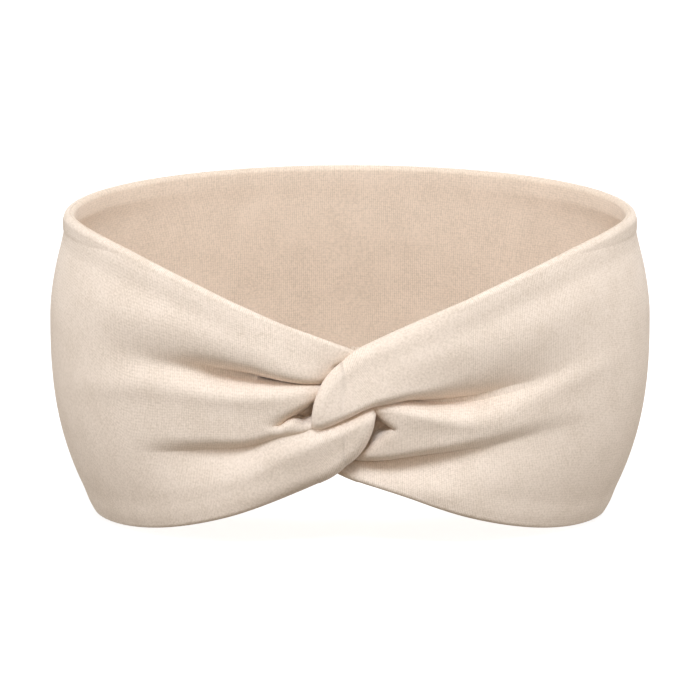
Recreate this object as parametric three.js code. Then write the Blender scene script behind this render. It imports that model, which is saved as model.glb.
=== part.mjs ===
// A twist-front spa headband: a closed loop of two jersey layers, a face and a lining, joined by turned
// seams along both edges. The two ends of the band cross in a knot at the front, where each folds over the
// other, and they are sewn together behind it. The loop stands on its lower edge. +X is the loop's right, -Y
// its front and +Z up, and the origin is the middle of its length and width at the lower edge. Millimetres.
import * as THREE from "three";

// Loop, measured at the middle of the cloth's thickness. Its depths are measured from its widest place.
const bandHeight = 97; // from edge to edge at the back
const bulgeHalfWidth = 94.1; // half the loop's width where it bulges most
const rimDrawnIn = 4.9; // the upper edge lies this far in from the bulge
const baseDrawnIn = 15.4; // and the lower edge this far
const backDepth = 74; // to the back, at the bulge
const frontDepth = 64.5; // to the front of the knot
const bulgeHeight = 64; // height of the widest place
const rimStraight = 6; // height of the straight stretch below the upper edge
const panelGap = 0.4; // clearance where the panels meet at the sides of the loop

// Cloth
const clothThickness = 0.9; // one layer of brushed jersey
const layerGap = 0.3; // clearance between the face and the lining
const turnedWidth = 8; // width of the seam allowance that is turned in along both edges
const turnedRamp = 2.2; // past it, the doubled cloth thins out over this width
const edgeRound = 1.1; // the edges are rounded over this width

// Knot
const knotShift = -1.9; // the knot's middle lies this far to the left of the loop's
const knotLow = 25.5; // height of the lower edge at the knot
const knotHigh = 63.7; // height of the upper edge at the knot
const lobeReach = 9.6; // from the knot's middle to the tip of each lobe
const lobeShoulder = 5; // each lobe's edge starts to turn down this far before the middle
const lobeCrown = 2.4; // how far each lobe falls back towards its edge
const lobeOval = 2.2; // power of the oval that each lobe's edge turns down in
const lobeBlunt = 0.93; // the oval is cut off at this share of its length
const curlRadius = 3; // each lobe's end turns under round this radius
const curlAngle = Math.PI * 0.58; // and through this angle
const foldSlope = 0.34; // rise over run of the line along which the two lobes meet
const foldFade = [14, 45]; // the fold returns to the band's middle between these distances from the knot
const lobeClearance = 0.5; // between the two lobes
const tuckDepth = 11; // how far the tucked half of each end lies behind the lobes
const tuckReach = 34; // the tucked half starts to sink this far from the middle
const upperClosing = 1.37; // how late the upper edge falls towards the knot
const lowerClosing = 1.8; // how late the lower edge rises towards the knot

// Seams
const threadWidth = 0.4; // sewing thread, with its stitches laid close
const threadGap = 0.3; // clearance between a thread and the cloth it lies on
const allowanceDepth = 8; // how far the joined ends stand in behind the knot
const allowanceSpread = 0.85; // the joined ends reach this share of the knot's half height, up and down
const overlockPitch = 3; // from one overlock stitch to the next
const overlockReach = 3.6; // length of an overlock stitch, in from the raw edge
const overlockWidth = 0.6; // width of the overlock's bundle of threads

// Mesh densities
const wingColumns = 16; // from the side of the loop to the join
const lobeColumns = 8; // from the join round the lobe's tip, and from the join to the allowance's raw edge
const joinStitchColumn = 3; // the join's stitches lie at this column of the allowance
const backColumns = 24;

const rimHalfWidth = bulgeHalfWidth - rimDrawnIn;
const knotMiddle = (knotLow + knotHigh) / 2;
const fieldOffset = layerGap / 2 + clothThickness; // middle of the band to the outside of a layer
const rimOffset = fieldOffset + clothThickness; // the same over the turned allowance
const joinReach = (rimOffset + fieldOffset + layerGap) / 2; // from the knot's middle to each end's join
const foldOffset = fieldOffset + lobeClearance / 2; // from the lobes' meeting line to each lobe's fold

const clamp01 = (x) => Math.min(1, Math.max(0, x));
const mix = (a, b, t) => a + (b - a) * t;
const ease = (a, b, x) => {
  const t = clamp01((x - a) / (b - a));
  return t * t * (3 - 2 * t);
};
const steps = (n) => Array.from({ length: n + 1 }, (_, i) => i / n);

// Half the loop's width at a height. It draws in towards both edges, and more towards the lower one.
const baseDraw = 2.6;
const rimDraw = 1.75;
function halfWidthAt(z) {
  const below = clamp01(1 - z / bulgeHeight);
  const above = clamp01((z - bulgeHeight) / (bandHeight - rimStraight - bulgeHeight));
  return bulgeHalfWidth - baseDrawnIn * Math.pow(below, baseDraw) - rimDrawnIn * Math.pow(above, rimDraw);
}

// Rows across the band from the lower edge (0) to the upper edge (1), closer at the turned edges.
const edgeRows = [0, edgeRound, turnedWidth, turnedWidth + turnedRamp].map((width) => width / bandHeight);
const mirrored = (rows) => [...rows, ...rows.map((w) => 1 - w).reverse()];
const backRows = mirrored([...edgeRows, 0.22, 0.36]);

// A point of the back half. turn runs from the right (0) over the back to the left (1). Above the bulge the
// back stands upright.
function backPoint(turn, v) {
  const sideAngle = panelGap / 2 / backDepth;
  const angle = mix(sideAngle, Math.PI - sideAngle, turn);
  const z = v * bandHeight;
  const width = halfWidthAt(z);
  const depth = (backDepth * (z < bulgeHeight ? width : bulgeHalfWidth)) / bulgeHalfWidth;
  return new THREE.Vector3(width * Math.cos(angle), depth * Math.sin(angle), z);
}

// Each end of the band runs from the side of the loop to the knot. Both share one shape, turned half way
// round: side is +1 on the right and -1 on the left, "along" is the distance from the knot's middle back
// towards the end's own side, and "rise" is the height from the knot's middle towards its lobe.
// Rows run from the tucked edge (0) over the fold to the edge of the lobe (1). Past the join, the rows of the
// lobe go on over the middle and curl under, and the tucked rows turn in as the seam allowance. Between them
// the cloth is slit, so that the tucked rows can spread.
const foldRow = 0.5;
const foldBand = 0.08; // the fold's wall takes this share of the rows on each side of the fold
const tuckedRows = [...edgeRows, 0.2, 0.29, 0.36, foldRow - foldBand];
const lobeRows = [0.525, 0.55, foldRow + foldBand, 0.64, 0.71, 0.8, ...edgeRows.map((w) => 1 - w).reverse()];
const wingRows = [...tuckedRows, 0.45, 0.475, foldRow, ...lobeRows];
const lastTucked = tuckedRows.length - 1;
const firstLobe = wingRows.length - lobeRows.length;

// Where a row runs at a column: its place along the band, and how far it has turned into the loop.
function wingRoute(column, w) {
  const startAngle = panelGap / 2 / frontDepth;
  if (column <= wingColumns) {
    const endAngle = Math.acos(joinReach / rimHalfWidth);
    const angle = mix(startAngle, endAngle, column / wingColumns);
    return { along: rimHalfWidth * Math.cos(angle), turned: 0 };
  }
  const past = (column - wingColumns) / lobeColumns;
  if (w < foldRow) return { along: joinReach, turned: allowanceDepth * past };
  const straight = mix(joinReach, curlRadius - lobeReach, clamp01(2 * past));
  const curl = curlAngle * clamp01(2 * past - 1);
  return { along: straight - curlRadius * Math.sin(curl), turned: curlRadius * (1 - Math.cos(curl)) };
}

// The edge of a lobe follows the band's edge, then turns down in an oval to the lobe's tip.
function lobeEdge(along, edge) {
  const tip = foldOffset - foldSlope * lobeReach;
  const run = clamp01((lobeShoulder - along) / (lobeShoulder + lobeReach));
  return mix(tip, edge, Math.pow(1 - Math.pow(run * lobeBlunt, lobeOval), 1 / lobeOval));
}

// Close to the join, the tucked half spreads behind its own lobe, so the two ends meet at their full height.
function tuckedSpread(along, w, tuckedEdge, fold) {
  const lastRow = foldRow - foldBand;
  const rest = mix(tuckedEdge, fold, lastRow / foldRow);
  const spread = (-tuckedEdge * allowanceSpread - rest) * (1 - ease(joinReach, lobeReach, along));
  return spread * (w < lastRow ? w / lastRow : (foldRow - w) / foldBand);
}

function wingPoint(side, column, w) {
  const { along, turned } = wingRoute(column, w);
  const share = along / rimHalfWidth;
  const top = mix(bandHeight, knotHigh, Math.pow(clamp01(1 - share), upperClosing)) - knotMiddle;
  const bottom = mix(0, knotLow, Math.pow(clamp01(1 - share), lowerClosing)) - knotMiddle;
  const tuckedEdge = side > 0 ? bottom : -top;
  const outerEdge = lobeEdge(along, side > 0 ? top : -bottom);
  const fold = mix(foldSlope * along + foldOffset, (tuckedEdge + outerEdge) / 2, ease(...foldFade, along));
  const rise = w > foldRow
    ? mix(fold, outerEdge, (w - foldRow) / (1 - foldRow))
    : mix(tuckedEdge, fold, w / foldRow) + tuckedSpread(along, w, tuckedEdge, fold);

  const z = knotMiddle + side * rise;
  const width = halfWidthAt(z);
  const closed = Math.pow(clamp01(1 - share), upperClosing);
  const depth = mix((frontDepth * width) / bulgeHalfWidth, frontDepth, closed);
  const sunk = 1 - ease(lobeShoulder, tuckReach, along);
  const tucked = 1 - ease(foldRow - foldBand, foldRow + foldBand, w);
  const across = clamp01((w - foldRow) / (1 - foldRow));
  const crown = sunk * lobeCrown * Math.pow(across, 2);
  return new THREE.Vector3(
    side * along * mix(width / rimHalfWidth, 1, closed) + knotShift * closed,
    -depth * Math.sqrt(1 - share * share) + sunk * tucked * tuckDepth + crown + turned,
    z,
  );
}

// Grids of points on the middle of the band. A grid has columns of one point for each row, and says which of
// its cells are cloth and whether its columns run clockwise round the loop, seen from above.
const everyCell = () => true;
const backGrid = {
  rows: backRows,
  points: steps(backColumns).map((turn) => backRows.map((v) => backPoint(turn, v))),
  isCloth: everyCell,
  clockwise: false,
};
const isSlit = (i, j) => i >= wingColumns - 1 && j >= lastTucked && j < firstLobe;
const columnNumbers = Array.from({ length: wingColumns + lobeColumns + 1 }, (_, i) => i);
const wingGrid = (side) => ({
  rows: wingRows,
  points: columnNumbers.map((column) => wingRows.map((w) => wingPoint(side, column, w))),
  isCloth: (i, j) => !isSlit(i, j),
  clockwise: true,
});

// The closed solid between two distances from a grid's middle surface. distances gives both for a row. The
// band's edges are cut level over the first levelColumns, so the loop stands flat.
function solidOnGrid({ rows, points, isCloth, clockwise }, distances, levelColumns) {
  const count = rows.length;
  const cells = [];
  for (let i = 0; i + 1 < points.length; i++) {
    for (let j = 0; j + 1 < count; j++) {
      const a = i * count + j;
      const corners = [a, a + count, a + count + 1, a + 1];
      if (isCloth(i, j)) cells.push(clockwise ? corners.reverse() : corners);
    }
  }
  const flat = points.flat();
  const middle = new THREE.BufferGeometry().setFromPoints(flat);
  middle.setIndex(cells.flatMap(([a, b, c, d]) => [a, b, c, a, c, d]));
  middle.computeVertexNormals();
  const normals = middle.getAttribute("normal");
  const layers = [[], []];
  flat.forEach((point, k) => {
    const row = k % count;
    const isEdge = row === 0 || row === count - 1;
    const level = isEdge ? 1 - ease(levelColumns / 2, levelColumns, Math.floor(k / count)) : 0;
    const normal = new THREE.Vector3().fromBufferAttribute(normals, k);
    normal.setZ(normal.z * (1 - level)).normalize();
    distances(rows[row]).forEach((distance, layer) => {
      layers[layer].push(point.clone().addScaledVector(normal, distance));
    });
  });

  const index = [];
  const outer = flat.length;
  const rims = new Map();
  cells.forEach((cell) => {
    const [a, b, c, d] = cell;
    index.push(outer + a, outer + b, outer + c, outer + a, outer + c, outer + d);
    index.push(a, c, b, a, d, c);
    cell.forEach((from, n) => {
      const to = cell[(n + 1) % cell.length];
      if (!rims.delete(`${to} ${from}`)) rims.set(`${from} ${to}`, [from, to]);
    });
  });
  rims.forEach(([from, to]) => index.push(from, to, outer + to, from, outer + to, outer + from));
  return new THREE.BufferGeometry().setFromPoints(layers.flat()).setIndex(index);
}

// Distances of the face's two sides from the middle of the band, across a row. It is doubled along the edges.
function faceSides(w) {
  const fromEdge = Math.min(w, 1 - w) * bandHeight;
  if (fromEdge < edgeRound / 2) return [layerGap / 2 + threadWidth, rimOffset - edgeRound / 2];
  return [layerGap / 2, fromEdge < turnedWidth + turnedRamp / 2 ? rimOffset : fieldOffset];
}
const liningSides = (w) => faceSides(w).map((distance) => -distance).reverse();

const faceCloth = new THREE.MeshStandardMaterial({ color: 0xe4d5c4, roughness: 0.95, metalness: 0 });
const liningCloth = new THREE.MeshStandardMaterial({ color: 0xdcc5ae, roughness: 0.95, metalness: 0 });
const thread = new THREE.MeshStandardMaterial({ color: 0xe0d2c0, roughness: 0.6, metalness: 0 });

// The thread of a turned seam lies in the notch between the two layers, close inside the edge.
function edgeThread(grid, isUpper, columns, levelColumns) {
  const ends = [0.1, 0.1 + threadWidth / edgeRound];
  const points = grid.points.slice(0, columns).map((column) => {
    const [edge, inner] = isUpper ? [column.at(-1), column.at(-2)] : column;
    const pair = ends.map((share) => edge.clone().lerp(inner, share));
    return isUpper ? pair.reverse() : pair;
  });
  const strip = { ...grid, rows: [0, 1], points, isCloth: everyCell };
  return solidOnGrid(strip, () => [-threadWidth / 2, threadWidth / 2], levelColumns);
}

// One line of the join's lockstitch, on the lining's side of an end's allowance.
function joinThread(grid) {
  const rows = tuckedRows.map((_, j) => j).slice(2, -1);
  const nearFold = grid.points[wingColumns + joinStitchColumn];
  const further = grid.points[wingColumns + joinStitchColumn + 1];
  const share = threadWidth / nearFold[0].distanceTo(further[0]);
  const points = rows.map((j) => [nearFold[j], nearFold[j].clone().lerp(further[j], share)]).reverse();
  const distance = rimOffset + threadGap;
  const strip = { rows: [0, 1], points, isCloth: everyCell, clockwise: true };
  return solidOnGrid(strip, () => [-distance - threadWidth, -distance], 1);
}

// The overlock winds to and fro over the raw edges of both allowances, up along the join.
function overlockThread(rightGrid, leftGrid) {
  const rawEdge = (grid) => grid.points.at(-1).slice(0, lastTucked);
  const heights = [...rawEdge(rightGrid), ...rawEdge(leftGrid)].map((p) => p.z);
  const low = Math.min(...heights) + overlockPitch;
  const turns = Math.floor((Math.max(...heights) - overlockPitch - low) / overlockPitch);
  const edge = -frontDepth + tuckDepth + allowanceDepth;
  const aside = joinReach + rimOffset + threadGap + overlockWidth / 2;
  const beyond = edge + 2 * threadGap + overlockWidth;
  const over = [[aside, edge - overlockReach], [aside, beyond], [-aside, beyond]];
  const loop = [...over, ...over.map(([x, y]) => [-x, y])];
  const route = Array.from({ length: turns * loop.length }, (_, i) => {
    const [x, y] = loop[i % loop.length];
    return new THREE.Vector3(x + knotShift, y, low + (i / loop.length) * overlockPitch);
  });
  const path = new THREE.CatmullRomCurve3(route, false, "catmullrom", 0.3);
  const section = new THREE.Shape(steps(5).slice(1).map((turn) => {
    const angle = turn * 2 * Math.PI;
    return new THREE.Vector2(Math.cos(angle), Math.sin(angle)).multiplyScalar(overlockWidth / 2);
  }));
  return new THREE.ExtrudeGeometry(section, { steps: route.length * 2, extrudePath: path });
}

const headband = new THREE.Group();
headband.position.y = (frontDepth + fieldOffset - backDepth - rimOffset) / 2; // centres its length
function add(name, geometry, material) {
  const mesh = new THREE.Mesh(geometry, material);
  mesh.name = name;
  headband.add(mesh);
}
function addPanels(name, grid, levelColumns) {
  add(`${name}_face_panel`, solidOnGrid(grid, faceSides, levelColumns), faceCloth);
  add(`${name}_lining_panel`, solidOnGrid(grid, liningSides, levelColumns), liningCloth);
}
const allLevel = 3 * backColumns; // far past the last column, so the back's edges are level all along
addPanels("back", backGrid, allLevel);
add("back_upper_edge_thread", edgeThread(backGrid, true, backColumns + 1, allLevel), thread);
add("back_lower_edge_thread", edgeThread(backGrid, false, backColumns + 1, allLevel), thread);

const ends = { right: wingGrid(1), left: wingGrid(-1) };
for (const [name, grid] of Object.entries(ends)) {
  addPanels(name, grid, wingColumns);
  const [lobe, tucked] = [wingColumns + lobeColumns + 1, wingColumns];
  const isRight = name === "right";
  add(`${name}_upper_edge_thread`, edgeThread(grid, isRight, isRight ? lobe : tucked, wingColumns), thread);
  add(`${name}_lower_edge_thread`, edgeThread(grid, !isRight, isRight ? tucked : lobe, wingColumns), thread);
}
add("join_needle_thread", joinThread(ends.right), thread);
add("join_bobbin_thread", joinThread(ends.left), thread);
add("join_overlock_thread", overlockThread(ends.right, ends.left), thread);

export default headband;
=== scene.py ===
# A twist-front spa headband in heathered oatmeal jersey: two layers of brushed cloth, joined by turned seams
# along both edges, with the two ends of the band folded over each other in a knot at the front.
import math
import bpy
import numpy as np
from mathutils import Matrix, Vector


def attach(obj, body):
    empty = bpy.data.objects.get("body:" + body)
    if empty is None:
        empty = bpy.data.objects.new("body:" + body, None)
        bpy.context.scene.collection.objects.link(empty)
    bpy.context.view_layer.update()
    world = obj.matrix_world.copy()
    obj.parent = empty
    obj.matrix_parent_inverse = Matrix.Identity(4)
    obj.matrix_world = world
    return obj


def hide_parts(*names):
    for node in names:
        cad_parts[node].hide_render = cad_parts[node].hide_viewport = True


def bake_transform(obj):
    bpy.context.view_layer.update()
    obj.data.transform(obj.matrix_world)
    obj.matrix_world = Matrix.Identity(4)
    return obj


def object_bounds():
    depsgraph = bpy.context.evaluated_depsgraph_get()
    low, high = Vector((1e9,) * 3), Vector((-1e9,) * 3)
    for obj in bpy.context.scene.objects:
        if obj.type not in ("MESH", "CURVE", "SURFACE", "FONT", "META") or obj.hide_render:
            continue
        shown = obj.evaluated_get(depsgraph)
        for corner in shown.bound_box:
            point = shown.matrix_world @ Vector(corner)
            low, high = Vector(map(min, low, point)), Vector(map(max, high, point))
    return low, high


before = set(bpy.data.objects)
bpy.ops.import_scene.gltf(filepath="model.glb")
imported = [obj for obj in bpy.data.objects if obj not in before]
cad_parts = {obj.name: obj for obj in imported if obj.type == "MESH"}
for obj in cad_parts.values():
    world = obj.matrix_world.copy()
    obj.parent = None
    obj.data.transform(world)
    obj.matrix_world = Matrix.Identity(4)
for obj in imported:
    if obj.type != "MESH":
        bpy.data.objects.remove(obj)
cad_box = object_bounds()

MM = 0.001

# Loop, from the frame
CAD_LOW, CAD_HIGH = (np.array(corner) for corner in cad_box)
CLOTH = 0.9 * MM  # thickness of one layer of jersey
HALF_FIELD = 1.05 * MM  # half the band's thickness
HALF_RIM = 1.95 * MM  # the same over the turned seam allowance
HALF_KNOT_RIM = 1.45 * MM  # the same where the knot squeezes it
HALF_ALLOWANCE = 1.5 * MM  # half an end's thickness at the join, where the cloth is gathered
HEIGHT = CAD_HIGH[2]
BULGE = CAD_HIGH[0] - HALF_FIELD  # half the loop's width where it is widest
RIM_WIDTH = BULGE - 4.9 * MM  # half its width at the upper edge
BASE_WIDTH = BULGE - 15.4 * MM  # half its width at the lower edge
BULGE_HEIGHT = 64 * MM
RIM_STRAIGHT = 6 * MM  # the band is upright this far below its upper edge
BASE_POWER, RIM_POWER = 2.6, 1.75  # how late the band draws in, below and above the bulge
BACK_DEPTH = 74 * MM  # from the widest place to the back
WIDEST_Y = CAD_HIGH[1] - HALF_RIM - BACK_DEPTH
FRONT_DEPTH = WIDEST_Y - CAD_LOW[1] - HALF_FIELD
TURNED = 5.5 * MM  # width of the turned seam allowance
RAMP = 3.5 * MM  # it thins out this far on either side of that
BACK_RIM = 0.65  # share of the rim's extra thickness that it has at the back
LOWER_RIM = 0.4  # share of it that the lower rim lacks

# Knot. "along" is the distance from the knot's middle back towards an end's own side, and "rise" the height
# from the knot's middle towards that end's lobe, up on the right and down on the left.
KNOT_X = -1.9 * MM
KNOT_LOW, KNOT_HIGH = 26.0 * MM, 63.2 * MM
KNOT_Z = (KNOT_LOW + KNOT_HIGH) / 2
KNOT_HALF = KNOT_HIGH - KNOT_Z - HALF_KNOT_RIM  # from the knot's middle to the middle of a lobe's edge
LOBE_REACH = 8.8 * MM  # from the knot's middle to the tip of each lobe
LOBE_SHOULDER = 6 * MM  # a lobe's rounded end begins this far from the knot's middle
LOBE_SIZE = 17 * MM  # scale of the distances inside a lobe's outline
LOBE_ROLL = 2.4 * MM  # radius of a lobe's rounded edge
LOBE_PROUD = 2.0 * MM  # a lobe stands this far forward of the loop's own curve
KNOT_LEAN = 0.2  # slope of the knot's face back towards its top and its bottom
KNOT_ROUND = 6 * MM  # radius of its face across its middle
TIP_RISE = -3.0 * MM  # height of a lobe's tip
TIP_SHARE = 0.995  # the rows end just short of the tip, so that they stay apart
UPPER_POWER, LOWER_POWER = 1.33, 1.8  # how late the upper and lower edges run to the knot
CLOSING_POWER = 1.37  # how late the band's section turns from the loop's own into the knot's
JOIN_REACH = 1.65 * MM  # the middle of each end lies this far to its own side of the join
JOIN_DEPTH = 11 * MM  # the join lies this far behind the loop's own curve
JOIN_WIDTH = (2 * MM, 4.5 * MM)  # the ends are as thin as they are at the join up to here, and not beyond
JOIN_FRONT = 2.5 * MM  # they thin out over this stretch before it
CORNER_REACH = 6 * MM  # the tucked corners reach this much further, behind the other end's lobe
ALLOWANCE = 8 * MM  # the ends run on this far behind the join
ALLOWANCE_SPREAD = 0.85  # height to which the rows fan out there, as a share of the tucked edge's
FAN_END = 0.42  # the rows from the tucked edge to here, across the band, fan out over the allowance
SLIT_START = 9 * MM  # the lobe and the tucked half part this far from the middle

# Stretches of "along" over which something fades
SQUEEZE_FADE = (5 * MM, 40 * MM)  # the knot's squeeze on the rims
ROLL_FADE = (8 * MM, 40 * MM)  # the roll and the lean of the lobes
FOLD_FADE = (66 * MM, 88 * MM)  # the fold's own line, which goes over into the middle of the band
SWELL_START = (8 * MM, 26 * MM)
SWELL_END = (66 * MM, 89 * MM)
JOIN_FADE = (JOIN_REACH, 4.5 * MM)  # the join's depth
SLIT_FADE = (JOIN_REACH, SLIT_START)  # the fan of the rows over the allowance
CORNER_FADE = (0, 24 * MM)  # the tucked corner's further reach
WEAVE_FADE = (6 * MM, 40 * MM)  # the slant of the knit on the lobes

# The same by "rise"
CORNER_LOW = (-14 * MM, -18 * MM)  # the tucked corner's further reach begins
BEHIND_LOW = (-8 * MM, -16 * MM)  # the tucked half lies less deep
JOIN_LOW = (-17 * MM, -13 * MM)  # the join's depth begins
FOLD_CLEAR = 3 * MM  # the tucked half's own shape begins this far below the fold

# Pockets: pinched hollows where a tucked half runs in behind the other end's lobe. The outlines are in
# millimetres.
POCKET_EDGE = 1.6 * MM  # their edges go down over this width
RIGHT_POCKET = 6 * MM  # depth
RIGHT_POCKET_TOP = (7.4, 2.9), (16.5, -4.8)
RIGHT_POCKET_BOTTOM = (9.5, -10.5), (16.5, -4.8)
LEFT_POCKET = 7 * MM
LEFT_POCKET_FADE = (14 * MM, 27 * MM)

# Threads
THREAD = 0.2 * MM  # radius
OVERLOCK_THREAD = 0.3 * MM
JOIN_HALF = 13 * MM  # the join's stitches reach this far up and down from the knot's middle
JOIN_SIDE = JOIN_REACH + HALF_ALLOWANCE + THREAD * 0.75  # they lie this far to each side of it
RAW_EDGE_Y = WIDEST_Y - FRONT_DEPTH + JOIN_DEPTH + ALLOWANCE
OVERLOCK_TURNS = 9
OVERLOCK_REACH = 3.8 * MM
OVERLOCK_SQUARE = 0.4  # power that squares the coil's round, which is round at 1
THREAD_SIDES = 8
JOIN_POINTS = 12  # along a straight thread
TURN_POINTS = 24  # in one turn of the coil

# Counts of points
ROW_COUNT = 64  # across each half of the band
ROW_CROWDING = 0.85  # how much the rows crowd towards the edges and the fold
WING_COLUMNS = 110  # from the side of the loop to the slit
WING_CROWDING = 0.75  # how much they spread out towards the slit
LOBE_COLUMNS = 40  # from the slit to the tip
BACK_COLUMNS = 90

# Knit, in millimetres, and how it shows
WALE, COURSE = 0.62, 0.8
WEAVE_SLANT = 0.7  # slope of the knit's rows on the lobes
WANDER, NAP, HEATHER, MOTTLE = 160, 3600, 1500, 90  # scales of its irregularities
KNIT_TONE, HEATHER_TONE, MOTTLE_TONE = 0.36, 0.9, 0.35
DARK_TONE = 0.52  # the colour is darkest up to this tone, and lightest at 1
KNIT_HEIGHT, NAP_HEIGHT, HEATHER_HEIGHT = 0.5, 0.5, 0.4

# Stage
LAMP_COLOUR = (0.78, 0.88, 1)
LAMP_TARGET = (0, 0, 0.05)
SKY_COLOUR = (1, 0.92, 0.8)
SKY_LEVEL, SKY_SLOPE = 0.43, 0.2  # strength of the light from the horizon, and how it grows upwards
CAMERA_ELEVATION = math.radians(12)
CAMERA_DISTANCE = 10
CAMERA_TARGET = Vector((0, WIDEST_Y, 52 * MM))
LENS = 1620
SENSOR = 36


def clamp01(x):
    return np.clip(x, 0, 1)


def mix(a, b, t):
    return a + (b - a) * t


def ease(a, b, x):
    t = clamp01((x - a) / (b - a))
    return t * t * (3 - 2 * t)


def through(*points):
    """A smooth curve through a few points (x, y) in millimetres, flat beyond its ends.

    It is returned as a function that takes and gives metres.
    """
    xs, ys = (np.array(values) * MM for values in zip(*points))
    slopes = np.gradient(ys, xs)
    slopes[0] = slopes[-1] = 0

    def value(x):
        x = np.clip(x, xs[0], xs[-1])
        k = np.clip(np.searchsorted(xs, x) - 1, 0, len(xs) - 2)
        step = xs[k + 1] - xs[k]
        t = (x - xs[k]) / step
        return (
            ys[k] * (1 + 2 * t) * (1 - t) ** 2
            + slopes[k] * step * t * (1 - t) ** 2
            + ys[k + 1] * t * t * (3 - 2 * t)
            + slopes[k + 1] * step * t * t * (t - 1)
        )

    return value


ROLL_STEEPNESS = 0.985  # at 1, a rolled edge would end upright


def rolled(distance, radius):
    """1 at a rounded edge, falling to 0 where its crown begins, one radius in."""
    x = clamp01(1 - distance / radius)
    return 1 - np.sqrt(1 - ROLL_STEEPNESS * x * x)


def hollow(distance, reach):
    """1 in a valley, falling gently to 0 at its reach."""
    return (1 - clamp01(distance / reach) ** 1.5) ** 2


# Each end's folds. "fold" is the valley between the lobe and the tucked half, and "crease" the valley across
# the tucked half. Each has its line, its depth, the width of its floor above the line, and how far the cloth
# takes to come level above that and below the line, all by "along". The cloth above rolls over the valley.
# The cloth below rolls too, or slopes gently. "swells" are long soft ridges, each with its line, height and
# half width.
RIGHT = {
    "side": 1,
    "fold": through(
        (-10, -4.4), (0, -1), (8, 2.2), (17, 3), (28, 1.7), (40, 1.8), (52, 5), (66, 10.2), (88, 13)
    ),
    "fold_depth": through(
        (-10, 1), (0, 2), (6, 5), (12, 6), (20, 7.5), (32, 7.5), (45, 5.2), (56, 2.8), (76, 0)
    ),
    "fold_floor": through((12, 0), (22, 1.2), (35, 2.5), (48, 2.5), (62, 0)),
    "fold_above": through((-6, 2.5), (6, 2.5), (12, 3.5), (22, 5), (30, 7), (40, 11), (80, 15)),
    "fold_below": through((0, 4), (9, 2.5), (25, 3.5), (42, 8), (60, 12)),
    "fold_slopes": False,
    "crease": through((0, -15.5), (11, -15.6), (23, -14.2), (41, -12.1), (53, -10.3), (70, -9)),
    "crease_depth": through((2, 5.5), (20, 6.5), (32, 5.5), (45, 3.5), (60, 1.5), (80, 0)),
    "crease_floor": through((0, 0), (80, 0)),
    "crease_above": through((0, 2.5), (30, 3.5), (76, 8)),
    "crease_below": through((0, 9), (25, 14), (40, 16), (76, 18)),
    "crease_slopes": True,
    "swells": (
        (through((8, 14), (26, 18.5), (44, 22), (62, 28), (80, 34)), 1.6 * MM, 8 * MM),
        (through((17, 0.5), (44, -1.5), (58, 3.8), (76, 9.8), (88, 12)), 1.0 * MM, 4 * MM),
    ),
}
LEFT = {
    "side": -1,
    "fold": through(
        (-10, -3.1), (0, 0.9), (9, 4), (14, 5.8), (21, 7.6), (30, 11), (45, 13.4), (66, 16.8), (88, 17)
    ),
    "fold_depth": through(
        (-10, 6), (-5, 5.2), (0, 3), (9, 2), (16, 1.6), (22, 2.2), (30, 4), (45, 4), (56, 2), (70, 0)
    ),
    "fold_floor": through((0, 0), (80, 0)),
    "fold_above": through((-10, 2.5), (10, 2.5), (35, 4), (76, 8)),
    "fold_below": through((-10, 4.5), (10, 6), (35, 12), (76, 18)),
    "fold_slopes": True,
    "crease": through((0, -8.9), (14, -9), (35, -9.4), (51, -11.6), (60, -13.4), (76, -15)),
    "crease_depth": through((5, 4.5), (12, 6.5), (25, 9.5), (38, 7.5), (53, 3), (66, 1), (78, 0)),
    "crease_floor": through((12, 0), (20, 0.7), (32, 3), (42, 3), (60, 0.5), (70, 0)),
    "crease_above": through((5, 2.5), (15, 3.5), (30, 5), (60, 9), (84, 12)),
    "crease_below": through((5, 2), (20, 3), (40, 6), (60, 10)),
    "crease_slopes": False,
    "swells": (
        (through((11, -14.5), (27, -19.8), (48, -25.4), (72, -29.2), (88, -31)), 2.0 * MM, 7 * MM),
        (through((12, -6), (33, -6), (57, -7), (77, -3), (88, -1)), 1.0 * MM, 4 * MM),
    ),
}

# How blunt the valleys are, by "along"
SOFTNESS = through((10, 0.15), (22, 0.45), (32, 0.5), (50, 1.3), (66, 3.5), (80, 5.5))

# How deep a tucked half lies behind the other end's lobe, by how far inside its outline
BEHIND = through((-8, 11), (-4, 8), (-1.5, 4.8), (0, 3.5), (2, 2.3), (5, 1.1), (9, 0.3), (14, 0))
BEHIND_SHARE = 0.75  # share of that depth it has low down

# Lower edge of the left pocket, by "along"
LIP = through((9, 5.2), (12.5, 5), (16.4, 3.2), (20.5, 5.6), (26, 4.4))


def half_width(z):
    below = clamp01(1 - z / BULGE_HEIGHT)
    above = clamp01((z - BULGE_HEIGHT) / (HEIGHT - RIM_STRAIGHT - BULGE_HEIGHT))
    drawn_in = (BULGE - BASE_WIDTH) * below**BASE_POWER + (BULGE - RIM_WIDTH) * above**RIM_POWER
    return BULGE - drawn_in


def valley(shape, name, along, height):
    """Depth of one of an end's valleys, and the share of it that is left at a height above its line."""
    softness = SOFTNESS(along)
    floor = shape[f"{name}_floor"](along)
    distance = np.hypot(np.where(height > 0, np.maximum(height - floor, 0), height), softness)
    above, below = (shape[f"{name}_{side}"](along) for side in ("above", "below"))
    fall = hollow if shape[f"{name}_slopes"] else rolled
    over = rolled(distance, above) / rolled(softness, above)
    under = fall(distance, below) / fall(softness, below)
    return shape[f"{name}_depth"](along), np.where(height > 0, over, under)


def squeeze(along):
    """Half the rim's thickness: the knot squeezes it."""
    return mix(HALF_KNOT_RIM, HALF_RIM, ease(*SQUEEZE_FADE, along))


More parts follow.
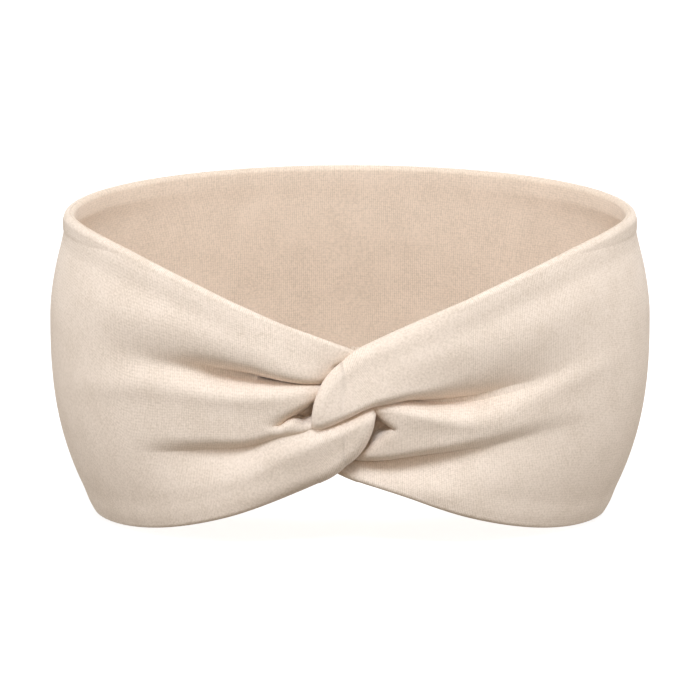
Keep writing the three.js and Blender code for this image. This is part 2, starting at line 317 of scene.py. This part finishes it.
def inside_lobe(along, rise, half):
    """How far inside a lobe's oval outline a point lies. It is negative outside."""
    reach = np.maximum(LOBE_SHOULDER - along, 0) / (LOBE_SHOULDER + LOBE_REACH)
    return LOBE_SIZE * (1 - np.hypot(reach, (rise - TIP_RISE) / (half - TIP_RISE)))


def past_line(along, rise, start, end):
    """How far a point lies to the left of the line from start to end, which are in millimetres."""
    run, climb = ((b - a) * MM for a, b in zip(start, end))
    length = math.hypot(run, climb)
    return (run * (rise - start[1] * MM) - climb * (along - start[0] * MM)) / length


def pocket(side, along, rise):
    """The pinched hollow where the tucked half runs in behind the other end's lobe."""
    if side > 0:
        below_top = -past_line(along, rise, *RIGHT_POCKET_TOP)
        above_bottom = past_line(along, rise, *RIGHT_POCKET_BOTTOM)
        return RIGHT_POCKET * ease(0, POCKET_EDGE, below_top) * ease(0, POCKET_EDGE, above_bottom)
    top = mix(-5 * MM, 1 * MM, (along - 10 * MM) / (15 * MM))
    slope = mix(2.5 * MM, 7 * MM, clamp01((along - 11 * MM) / (10 * MM)))
    sunk = ease(0, POCKET_EDGE, LIP(along) - rise) * ease(0, slope, rise - top)
    return LEFT_POCKET * sunk * (1 - ease(*LEFT_POCKET_FADE, along))


def swell(shape, along, rise):
    """Height of an end's long soft ridges."""
    ridges = (
        height * np.exp(-(((rise - line(along)) / width) ** 2))
        for line, height, width in shape["swells"]
    )
    return sum(ridges) * ease(*SWELL_START, along) * (1 - ease(*SWELL_END, along))


def wing_point(shape, along, turned, w):
    """Points on the middle of the band, on one side. Rows w run from the tucked edge, 0, to the lobe's, 1."""
    side = shape["side"]
    share = along / RIM_WIDTH
    away = clamp01(1 - share)
    inset = squeeze(along)
    top = mix(HEIGHT, KNOT_HIGH, away**UPPER_POWER) - KNOT_Z - inset
    bottom = mix(0, KNOT_LOW, away**LOWER_POWER) - KNOT_Z + inset
    tucked_edge, outer_edge = (bottom, top) if side > 0 else (-top, -bottom)
    run = clamp01((LOBE_SHOULDER - along) / (LOBE_SHOULDER + LOBE_REACH)) * TIP_SHARE
    lobe_edge = mix(TIP_RISE, outer_edge, np.sqrt(1 - run * run))
    fold = mix(shape["fold"](along), (tucked_edge + lobe_edge) / 2, ease(*FOLD_FADE, along))
    is_lobe = w >= 0.5
    rise = np.where(is_lobe, mix(fold, lobe_edge, 2 * w - 1), mix(tucked_edge, fold, 2 * w))
    fan_end = mix(tucked_edge, fold, 2 * FAN_END)
    spread = (-tucked_edge * ALLOWANCE_SPREAD - fan_end) * (1 - ease(*SLIT_FADE, along))
    rise = rise + np.where(is_lobe, 0, spread * np.minimum(w / FAN_END, 1))
    corner = ease(*CORNER_LOW, rise) * (1 - ease(*CORNER_FADE, along)) * ~is_lobe
    along = along - CORNER_REACH * corner

    fold_depth, in_fold = valley(shape, "fold", along, side * (rise - fold))
    crease_depth, in_crease = valley(shape, "crease", along, side * (rise - shape["crease"](along)))
    near = 1 - ease(*ROLL_FADE, along)
    lean = KNOT_LEAN * near * (np.hypot(rise, KNOT_ROUND) - KNOT_ROUND)
    roll = LOBE_ROLL * rolled(inside_lobe(along, rise, outer_edge), LOBE_ROLL) * near
    lobe_depth = mix(-LOBE_PROUD * near, fold_depth, in_fold) + roll + lean
    behind = BEHIND(-inside_lobe(-along, -rise, KNOT_HALF))
    behind = behind * mix(1, BEHIND_SHARE, ease(*BEHIND_LOW, rise))
    clear = ease(0, FOLD_CLEAR, fold - rise)
    tucked_depth = np.maximum(fold_depth * in_fold, clear * crease_depth * in_crease)
    tucked_depth = tucked_depth + clear * (behind + pocket(side, along, rise)) + lean
    hidden = (1 - ease(*JOIN_FADE, along)) * ease(*JOIN_LOW, rise)
    tucked_depth = mix(tucked_depth, JOIN_DEPTH, hidden)
    depth = np.where(is_lobe, lobe_depth, tucked_depth) - swell(shape, along, rise)
    z = KNOT_Z + side * rise
    closed = away**CLOSING_POWER
    width = half_width(z)
    front = mix(FRONT_DEPTH * width / BULGE, FRONT_DEPTH, closed)
    x = side * along * mix(width / RIM_WIDTH, 1, closed) + KNOT_X * closed
    y = WIDEST_Y - front * np.sqrt(1 - share * share) + depth + turned
    return np.stack([x, y, z], -1)


def rows():
    """Rows across the band from edge to edge. The two middle ones lie together, where the ends are slit."""
    share = np.linspace(0, 1, ROW_COUNT)
    half = 0.5 * (share - ROW_CROWDING * np.sin(2 * math.pi * share) / (2 * math.pi))
    lobe = 0.5 + half
    return np.concatenate([1 - lobe[::-1] - 1e-9, lobe])


ROWS = rows()
IS_LOBE = ROWS >= 0.5
FIRST_LOBE = len(ROWS) // 2


def wing(shape):
    """The middle of one end of the band, from the side of the loop to the lobe's tip and the allowance."""
    angle = np.linspace(0, np.arccos(SLIT_START / RIM_WIDTH), WING_COLUMNS)[1:]
    along = RIM_WIDTH * np.cos(angle[-1] * (angle / angle[-1]) ** WING_CROWDING)
    past = np.linspace(0, 1, LOBE_COLUMNS)[1:]
    theta = np.arcsin((LOBE_SHOULDER - SLIT_START) / (LOBE_SHOULDER + LOBE_REACH))
    lobe = LOBE_SHOULDER - (LOBE_SHOULDER + LOBE_REACH) * np.sin(mix(theta, math.pi / 2, past))
    tucked = np.maximum(mix(SLIT_START, JOIN_REACH, 2 * past), JOIN_REACH)
    turned = np.maximum(2 * past - 1, 0) * ALLOWANCE
    points = [wing_point(shape, a, 0, ROWS) for a in along]
    for lobe_along, tucked_along, turn in zip(lobe, tucked, turned):
        row_along = np.where(IS_LOBE, lobe_along, tucked_along)
        points.append(wing_point(shape, row_along, np.where(IS_LOBE, 0, turn), ROWS))
    return np.array(points), len(along) - 1


def back():
    """The middle of the back half of the band, from its right side to its left."""
    angle = np.linspace(0, math.pi, BACK_COLUMNS)[:, None]
    z = mix(HALF_RIM, HEIGHT - HALF_RIM, ROWS)[None, :] + 0 * angle
    width = half_width(z)
    depth = BACK_DEPTH * np.where(z < BULGE_HEIGHT, width / BULGE, 1)  # upright above the bulge
    return np.stack([width * np.cos(angle), WIDEST_Y + depth * np.sin(angle), z], -1)


class Band:
    """The middle surface of the whole band, from the left lobe's tip round the back to the right one's."""

    def __init__(self):
        right, slit = wing(RIGHT)
        left, _ = wing(LEFT)
        self.points = np.concatenate([left[::-1, ::-1], back()[::-1], right])
        self.is_slit = np.zeros(len(self.points), bool)
        self.is_slit[: len(left) - 1 - slit] = True
        self.is_slit[len(self.points) - len(right) + slit + 1 :] = True
        self.normals = self.find_normals()
        self.half = self.find_half()
        self.weave = self.find_weave()

    def find_normals(self):
        """Unit normals that point out of the loop."""
        a, b = self.points[:-1, :-1], self.points[1:, :-1]
        c, d = self.points[1:, 1:], self.points[:-1, 1:]
        cells = np.cross(d - b, c - a)
        cells[:, FIRST_LOBE - 1] = 0
        normals = np.zeros_like(self.points)
        for i in (0, 1):
            for j in (0, 1):
                normals[i : len(cells) + i, j : cells.shape[1] + j] += cells
        whole = ~self.is_slit
        shared = normals[whole, FIRST_LOBE - 1] + normals[whole, FIRST_LOBE]
        normals[whole, FIRST_LOBE - 1] = shared
        normals[whole, FIRST_LOBE] = shared
        return normals / (np.linalg.norm(normals, axis=-1, keepdims=True) + 1e-15)

    def find_half(self):
        """Half the band's thickness: it is doubled over the seam allowance along both edges."""
        steps = np.linalg.norm(np.diff(self.points, axis=1), axis=-1)
        low = np.cumsum(steps[:, : FIRST_LOBE - 1], 1)
        high = np.cumsum(steps[:, : FIRST_LOBE - 1 : -1], 1)[:, ::-1]
        zero = np.zeros((len(steps), 1))
        from_edge = np.concatenate([zero, low, high, zero], 1)
        in_front = self.points[..., 1] < WIDEST_Y
        back_rim = mix(HALF_FIELD, HALF_RIM, BACK_RIM)
        rim = np.where(in_front, squeeze(np.abs(self.points[..., 0])), back_rim)
        lower = (self.points[..., 2] < KNOT_Z) & ~(self.is_slit[:, None])
        rim = np.where(lower, mix(rim, HALF_FIELD, LOWER_RIM), rim)
        ramp = np.where(in_front, RAMP, TURNED)
        half = mix(rim, HALF_FIELD, ease(TURNED - ramp, TURNED + ramp, from_edge))
        near = 1 - ease(*JOIN_WIDTH, np.abs(self.points[..., 0] - KNOT_X))
        past_join = self.points[..., 1] - (RAW_EDGE_Y - ALLOWANCE)
        joined = in_front * near * ease(-JOIN_FRONT, 0, past_join)
        return mix(half, HALF_ALLOWANCE, joined)

    def find_weave(self):
        """Cloth coordinates in millimetres: along the band, and across it."""
        steps = np.linalg.norm(np.diff(self.points[:, [2, -3]], axis=0), axis=-1).max(1)
        along = np.concatenate([[0], np.cumsum(steps)])[:, None]
        x, y, z = np.moveaxis(self.points, -1, 0)
        near = (1 - ease(*WEAVE_FADE, np.abs(x - KNOT_X))) * (y < WIDEST_Y)
        is_lobe = np.where(x > KNOT_X, z > KNOT_Z, z < KNOT_Z)
        skew = WEAVE_SLANT * (z - KNOT_Z) * near * is_lobe
        across = np.broadcast_to(ROWS * HEIGHT, x.shape)
        return np.stack([along + skew, across], -1) / MM

    def edge_frame(self, row, inner_row):
        """The middle of an edge, the normal there, and the way out past the edge, square to both."""
        edge, normal = self.points[:, row], self.normals[:, row]
        tangent = np.gradient(edge, axis=0)
        out = np.cross(tangent, normal)
        out /= np.linalg.norm(out, axis=-1, keepdims=True) + 1e-15
        sign = np.sign(np.sum(out * (edge - self.points[:, inner_row]), -1, keepdims=True))
        return edge, normal, out * np.where(sign == 0, 1, sign)


SEAM_ANGLE = math.radians(100)  # the face wraps over each edge this far, and meets the lining there
SEAM_GROOVE = 0.22 * MM
GROOVE_POWER = 8  # how close to the seam the groove keeps
EDGE_STEPS = 10


def layer(band, is_face, depth):
    """The surface of one layer at a depth below its own outside, with its share of both rounded edges."""
    angles = np.linspace(0, SEAM_ANGLE if is_face else math.pi - SEAM_ANGLE, EDGE_STEPS + 1)[1:]
    groove = SEAM_GROOVE * (angles / angles[-1]) ** GROOVE_POWER
    side = 1 if is_face else -1
    field = band.points + side * band.normals * (band.half - depth)[..., None]

    def rounded(row, inner_row):
        edge, normal, out = band.edge_frame(row, inner_row)
        radius = (band.half[:, row, None] - depth - groove)[..., None]
        turn = np.cos(angles)[:, None] * side * normal[:, None] + np.sin(angles)[:, None] * out[:, None]
        return edge[:, None] + radius * turn

    return np.concatenate([rounded(0, 1)[:, ::-1], field, rounded(-1, -2)], 1)


def new_piece(name, vertices, faces, material):
    mesh = bpy.data.meshes.new(name)
    mesh.from_pydata(vertices.tolist(), [], faces)
    mesh.polygons.foreach_set("use_smooth", np.ones(len(faces), bool))
    mesh.materials.append(material)
    piece = bpy.data.objects.new(name, mesh)
    bpy.context.collection.objects.link(piece)
    return piece


def grid_shell(name, outside, inside, is_slit, weave, material, flip):
    """A closed sheet of cloth between two grids of points, slit along its middle in some columns."""
    columns, count = outside.shape[:2]
    size = columns * count
    middle = count // 2
    index = np.arange(size).reshape(columns, count)
    index[~is_slit, middle] = index[~is_slit, middle - 1]
    cells = np.stack([index[:-1, :-1], index[1:, :-1], index[1:, 1:], index[:-1, 1:]], -1)
    cells = np.delete(cells, middle - 1, axis=1).reshape(-1, 4)
    if flip:
        cells = cells[:, ::-1]
    edges = np.concatenate([cells[:, [k, (k + 1) % 4]] for k in range(4)])
    there = edges[:, 0] * size + edges[:, 1]
    back_again = edges[:, 1] * size + edges[:, 0]
    rim = edges[~np.isin(there, back_again)]
    walls = np.stack([rim[:, 1], rim[:, 0], rim[:, 0] + size, rim[:, 1] + size], -1)
    faces = np.concatenate([cells, cells[:, ::-1] + size, walls])
    used, faces = np.unique(faces, return_inverse=True)
    faces = faces.reshape(-1, 4)
    vertices = np.concatenate([outside.reshape(-1, 3), inside.reshape(-1, 3)])[used]
    piece = new_piece(name, vertices, faces.tolist(), material)
    uv = piece.data.uv_layers.new(name="weave")
    both = np.concatenate([weave.reshape(-1, 2)] * 2)[used]
    uv.data.foreach_set("uv", both[faces.ravel()].ravel().astype(np.float32))
    return piece


def cloth_layer(band, name, is_face, material):
    outside = layer(band, is_face, 0)
    inside = layer(band, is_face, CLOTH)
    extra = (outside.shape[1] - len(ROWS)) // 2
    weave = np.pad(band.weave, ((0, 0), (extra, extra), (0, 0)), mode="edge")
    return grid_shell(name, outside, inside, band.is_slit, weave, material, is_face)


# ---- Materials

def link_maths(nodes, links, operation, first, second=None, third=None):
    node = nodes.new("ShaderNodeMath")
    node.operation = operation
    for socket, value in zip(node.inputs, (first, second, third)):
        if isinstance(value, bpy.types.NodeSocket):
            links.new(value, socket)
        elif value is not None:
            socket.default_value = value
    return node.outputs[0]


def jersey(name, light, dark):
    """Brushed, heathered jersey, between two linear colours."""
    material = bpy.data.materials.new(name)
    material.use_nodes = True
    nodes, links = material.node_tree.nodes, material.node_tree.links
    shader = nodes["Principled BSDF"]
    shader.inputs["Roughness"].default_value = 0.92
    shader.inputs["Specular IOR Level"].default_value = 0.15
    shader.inputs["Sheen Weight"].default_value = 0.25
    shader.inputs["Sheen Roughness"].default_value = 0.5
    shader.inputs["Sheen Tint"].default_value = (1.0, 0.95, 0.9, 1)

    def maths(*values):
        return link_maths(nodes, links, *values)

    def noise(scale, detail, vector):
        node = nodes.new("ShaderNodeTexNoise")
        node.inputs["Scale"].default_value = scale
        node.inputs["Detail"].default_value = detail
        links.new(vector, node.inputs["Vector"])
        return node.outputs["Fac"]

    place = nodes.new("ShaderNodeTexCoord").outputs["Object"]
    uv = nodes.new("ShaderNodeUVMap")
    uv.uv_map = "weave"
    split = nodes.new("ShaderNodeSeparateXYZ")
    links.new(uv.outputs["UV"], split.inputs[0])
    wander = noise(WANDER, 2, place)
    u = maths("ADD", split.outputs["X"], maths("MULTIPLY", wander, 0.5))
    v = maths("ADD", split.outputs["Y"], wander)
    wales = maths("ABSOLUTE", maths("SINE", maths("MULTIPLY", u, math.pi / WALE)))
    courses = maths("SINE", maths("MULTIPLY", v, 2 * math.pi / COURSE))
    knit = maths("MULTIPLY", wales, maths("MULTIPLY_ADD", courses, 0.2, 0.8))

    nap = noise(NAP, 2, place)
    heather = noise(HEATHER, 3, place)
    mottle = noise(MOTTLE, 3, place)
    tone = maths("MULTIPLY_ADD", knit, KNIT_TONE, maths("MULTIPLY", heather, HEATHER_TONE))
    tone = maths("ADD", tone, maths("MULTIPLY", mottle, MOTTLE_TONE))
    ramp = nodes.new("ShaderNodeValToRGB")
    ramp.color_ramp.elements[0].position = DARK_TONE
    ramp.color_ramp.elements[0].color = (*dark, 1)
    ramp.color_ramp.elements[1].color = (*light, 1)
    links.new(tone, ramp.inputs["Fac"])
    links.new(ramp.outputs["Color"], shader.inputs["Base Color"])

    height = maths("MULTIPLY_ADD", knit, KNIT_HEIGHT, maths("MULTIPLY", nap, NAP_HEIGHT))
    height = maths("MULTIPLY_ADD", heather, HEATHER_HEIGHT, height)
    bump = nodes.new("ShaderNodeBump")
    bump.inputs["Strength"].default_value = 0.8
    bump.inputs["Distance"].default_value = 0.12 * MM
    links.new(height, bump.inputs["Height"])
    links.new(bump.outputs["Normal"], shader.inputs["Normal"])
    return material


def tube(name, middle, normal, out, radius, material):
    """A thread along a line of points. normal and out are square to it and to each other."""
    turns = np.linspace(0, 2 * math.pi, THREAD_SIDES + 1)[:-1]
    if np.sum(np.cross(normal, out) * np.gradient(middle, axis=0)) < 0:
        turns = -turns
    ring = [middle + radius * (math.cos(turn) * normal + math.sin(turn) * out) for turn in turns]
    vertices = np.stack(ring, 1).reshape(-1, 3)
    count = len(turns)
    faces = [
        (i * count + k, i * count + (k + 1) % count, (i + 1) * count + (k + 1) % count, (i + 1) * count + k)
        for i in range(len(middle) - 1)
        for k in range(count)
    ]
    last = len(vertices) - count
    faces += [tuple(range(count))[::-1], tuple(range(last, last + count))]
    return new_piece(name, vertices, faces, material)


def edge_thread(band, name, row, inner_row, material):
    """The lockstitch thread of a turned seam, inside the hollow of the rounded edge."""
    edge, normal, out = band.edge_frame(row, inner_row)
    middle = edge + out * (band.half[:, row, None] - CLOTH - 2 * THREAD)
    return tube(name, middle, normal, out, THREAD, material)


def join_line(name, side, material):
    """A straight thread of the join's seam, on one side of the two allowances."""
    z = KNOT_Z + np.linspace(-JOIN_HALF, JOIN_HALF, JOIN_POINTS)
    middle = np.stack([0 * z + KNOT_X + side * JOIN_SIDE, 0 * z + RAW_EDGE_Y - ALLOWANCE / 2, z], -1)
    across, back_way = (np.broadcast_to(axis, middle.shape) for axis in ((1.0, 0, 0), (0, 1.0, 0)))
    return tube(name, middle, across, back_way, THREAD, material)


def overlock(name, material):
    """The overlock thread, in a flat coil round both raw edges. The coil's front passes through the cloth."""
    turn = np.linspace(0, 2 * math.pi * OVERLOCK_TURNS, TURN_POINTS * OVERLOCK_TURNS)
    x, y = (np.sign(wave) * np.abs(wave) ** OVERLOCK_SQUARE for wave in (np.cos(turn), np.sin(turn)))
    z = KNOT_Z + np.linspace(-JOIN_HALF, JOIN_HALF, len(turn))
    reach = OVERLOCK_REACH / 2
    middle = np.stack([KNOT_X + JOIN_SIDE * x, RAW_EDGE_Y + OVERLOCK_THREAD - reach + reach * y, z], -1)
    tangent = np.gradient(middle, axis=0)
    normal = np.cross(tangent, (0, 0, 1.0))
    normal /= np.linalg.norm(normal, axis=-1, keepdims=True)
    out = np.cross(normal, tangent)
    out /= np.linalg.norm(out, axis=-1, keepdims=True)
    return tube(name, middle, normal, out, OVERLOCK_THREAD, material)


def sewing_thread():
    """Matt spun polyester: fine twist across the thread."""
    material = bpy.data.materials.new("sewing_thread")
    material.use_nodes = True
    nodes, links = material.node_tree.nodes, material.node_tree.links
    shader = nodes["Principled BSDF"]
    shader.inputs["Roughness"].default_value = 0.6
    shader.inputs["Sheen Weight"].default_value = 0.2
    twist = nodes.new("ShaderNodeTexWave")
    twist.inputs["Scale"].default_value = 600
    twist.inputs["Distortion"].default_value = 2
    twist.bands_direction = "DIAGONAL"
    links.new(nodes.new("ShaderNodeTexCoord").outputs["Object"], twist.inputs["Vector"])
    ramp = nodes.new("ShaderNodeValToRGB")
    ramp.color_ramp.elements[0].color = (0.56, 0.46, 0.36, 1)
    ramp.color_ramp.elements[1].color = (0.78, 0.68, 0.57, 1)
    links.new(twist.outputs["Fac"], ramp.inputs["Fac"])
    links.new(ramp.outputs["Color"], shader.inputs["Base Color"])
    bump = nodes.new("ShaderNodeBump")
    bump.inputs["Strength"].default_value = 0.6
    bump.inputs["Distance"].default_value = 0.08 * MM
    links.new(twist.outputs["Fac"], bump.inputs["Height"])
    links.new(bump.outputs["Normal"], shader.inputs["Normal"])
    return material


def plain(name, colour, roughness, glow):
    material = bpy.data.materials.new(name)
    material.use_nodes = True
    shader = material.node_tree.nodes["Principled BSDF"]
    shader.inputs["Base Color"].default_value = (*colour, 1)
    shader.inputs["Roughness"].default_value = roughness
    shader.inputs["Emission Color"].default_value = (1, 1, 1, 1)
    shader.inputs["Emission Strength"].default_value = glow
    return material


# ---- Stage

def add_floor():
    bpy.ops.mesh.primitive_plane_add(size=8, location=(0, 1.5, -0.0004))
    floor = bpy.context.object
    floor.name = "floor"
    floor.data.materials.append(plain("floor_white", (0.4, 0.4, 0.4), 0.9, 0.8))
    floor.visible_diffuse = False  # its glow doesn't reach the cloth
    floor.visible_shadow = False  # the soft light from below does


def add_light(name, place, size, power):
    light = bpy.data.lights.new(name, "AREA")
    light.shape = "DISK"
    light.size = size
    light.energy = power
    light.color = LAMP_COLOUR
    lamp = bpy.data.objects.new(name, light)
    bpy.context.collection.objects.link(lamp)
    lamp.location = place
    lamp.rotation_euler = (Vector(LAMP_TARGET) - Vector(place)).to_track_quat("-Z", "Y").to_euler()


def add_lights():
    world = bpy.data.worlds.new("studio")
    bpy.context.scene.world = world
    world.use_nodes = True
    nodes, links = world.node_tree.nodes, world.node_tree.links
    split = nodes.new("ShaderNodeSeparateXYZ")
    links.new(nodes.new("ShaderNodeTexCoord").outputs["Generated"], split.inputs[0])
    sky = link_maths(nodes, links, "MULTIPLY_ADD", split.outputs["Z"], SKY_SLOPE, SKY_LEVEL)
    links.new(sky, nodes["Background"].inputs["Strength"])
    nodes["Background"].inputs["Color"].default_value = (*SKY_COLOUR, 1)
    add_light("key", (0, -1.1, 1.35), 0.6, 22.5)
    add_light("left", (-1.7, -0.5, 0.5), 1.0, 13)
    add_light("right", (1.7, -0.5, 0.5), 1.0, 12)
    add_light("back", (0.4, 1.9, 0.5), 1.0, 12)


def add_camera():
    camera = bpy.data.objects.new("camera", bpy.data.cameras.new("camera"))
    camera.data.lens = LENS
    camera.data.sensor_width = SENSOR
    way = Vector((0, -math.cos(CAMERA_ELEVATION), math.sin(CAMERA_ELEVATION)))
    camera.location = CAMERA_TARGET + CAMERA_DISTANCE * way
    camera.rotation_euler = (CAMERA_TARGET - camera.location).to_track_quat("-Z", "Y").to_euler()
    bpy.context.collection.objects.link(camera)
    bpy.context.scene.camera = camera


def main():
    add_camera()
    add_lights()
    add_floor()
    bpy.context.scene.view_settings.view_transform = "Standard"
    band = Band()
    face_cloth = jersey("face_jersey", (0.90, 0.745, 0.62), (0.68, 0.54, 0.42))
    # The lining's colour is a little darker and warmer than the face's, as painted shade for the inside of
    # the loop; both are the same jersey.
    shaded_lining_cloth = jersey("lining_jersey", (0.88, 0.705, 0.56), (0.66, 0.52, 0.40))
    face = cloth_layer(band, "face_cloth", True, face_cloth)
    lining = cloth_layer(band, "shaded_lining_cloth", False, shaded_lining_cloth)
    thread = sewing_thread()
    lower = edge_thread(band, "lower_edge_lockstitch", 0, 1, thread)
    upper = edge_thread(band, "upper_edge_lockstitch", -1, -2, thread)
    joins = (
        (join_line("join_needle_stitches", 1, thread), "join_needle_thread"),
        (join_line("join_bobbin_stitches", -1, thread), "join_bobbin_thread"),
        (overlock("join_overlock_stitches", thread), "join_overlock_thread"),
    )
    for piece, name in joins:
        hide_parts(name)
        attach(piece, "front")
    pieces = (
        (face, "face_panel", "face_jersey"),
        (lining, "lining_panel", "lining_jersey"),
        (lower, "lower_edge_thread", "sewing_thread"),
        (upper, "upper_edge_thread", "sewing_thread"),
    )
    for piece, name, slot in pieces:
        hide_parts(*(f"{part}_{name}" for part in ("back", "right", "left")))
        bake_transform(piece)


main()
